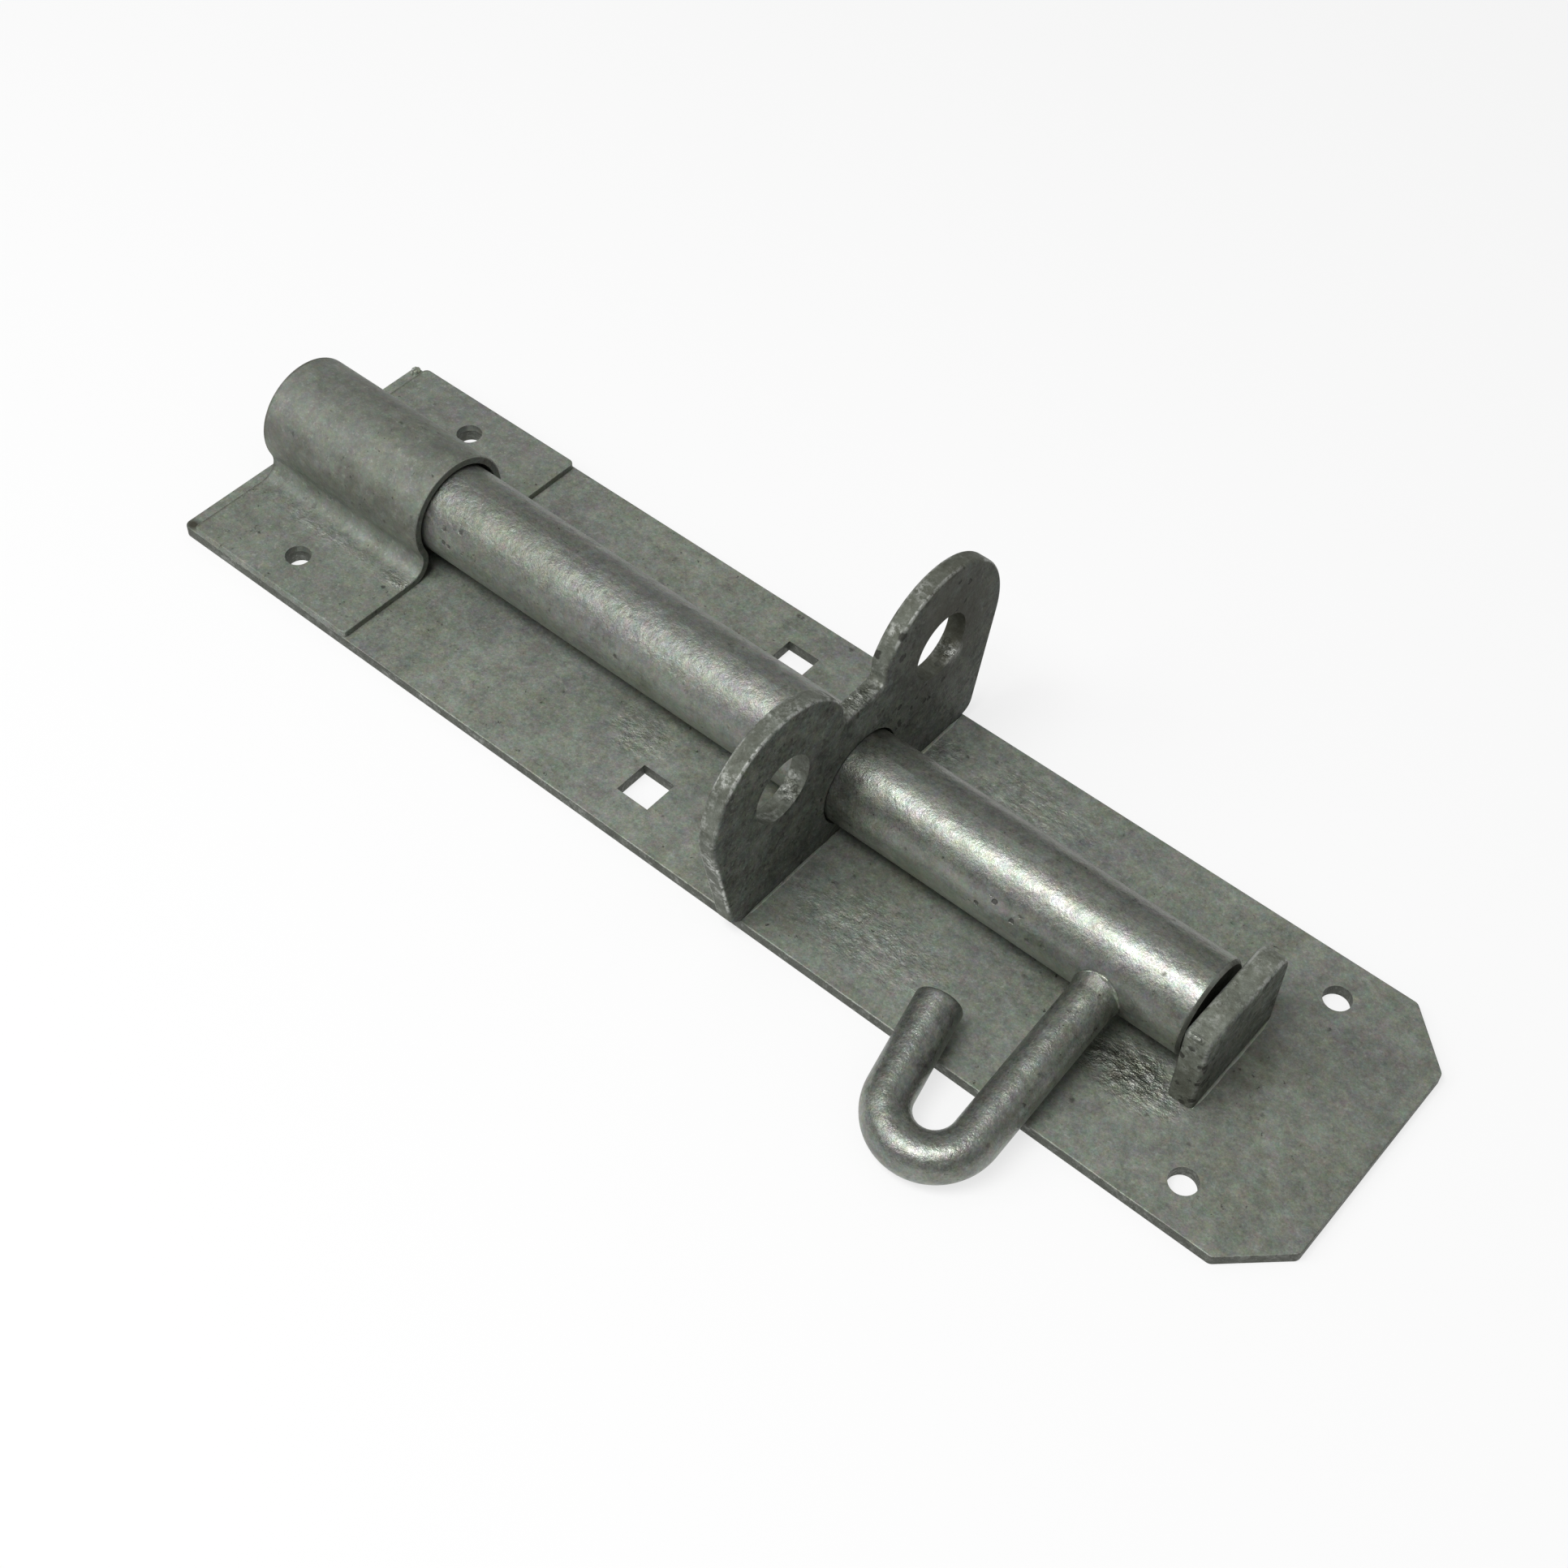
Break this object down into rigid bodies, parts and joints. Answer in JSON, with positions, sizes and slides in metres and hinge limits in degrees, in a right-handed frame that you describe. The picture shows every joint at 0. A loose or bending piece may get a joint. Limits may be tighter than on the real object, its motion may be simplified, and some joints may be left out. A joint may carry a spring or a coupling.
{
  "type": "padbolt",
  "caption": "Galvanised door bolt: a round bar with a bent rod handle slides on a back plate through a pressed strap and an eared bracket that takes a padlock, up to an end stop.",
  "frame": {"origin": "centre of the back plate's underside, which lies against the door", "axes": "+X along the bar towards the end stop, -X the way the bar is thrown, -Y to the side on which the handle lies, +Z away from the door"},
  "size_m": [0.2032, 0.0739, 0.0374],
  "materials": {
    "galvanised_sheet": "dull hot-dip galvanised, mottled grey",
    "galvanised_rod": "hot-dip galvanised, smoother and a little brighter"
  },
  "bodies": {
    "plate": {"back_plate": "galvanised_sheet", "guide_strap": "galvanised_sheet", "lock_bracket": "galvanised_sheet", "end_stop": "galvanised_sheet"},
    "bar": {"bolt_bar": "galvanised_rod"},
    "handle": {"hook_handle": "galvanised_rod"}
  },
  "joints": [
    {"name": "bolt_slide", "type": "slide", "parent": "plate", "child": "bar", "axis": [-1, 0, 0], "range_m": [0, 0.027]},
    {"name": "handle_turn", "type": "hinge", "parent": "bar", "child": "handle", "pos_m": [0.0615, 0, 0.0107], "axis": [-1, 0, 0], "range_deg": [0, 200.5]}
  ]
}
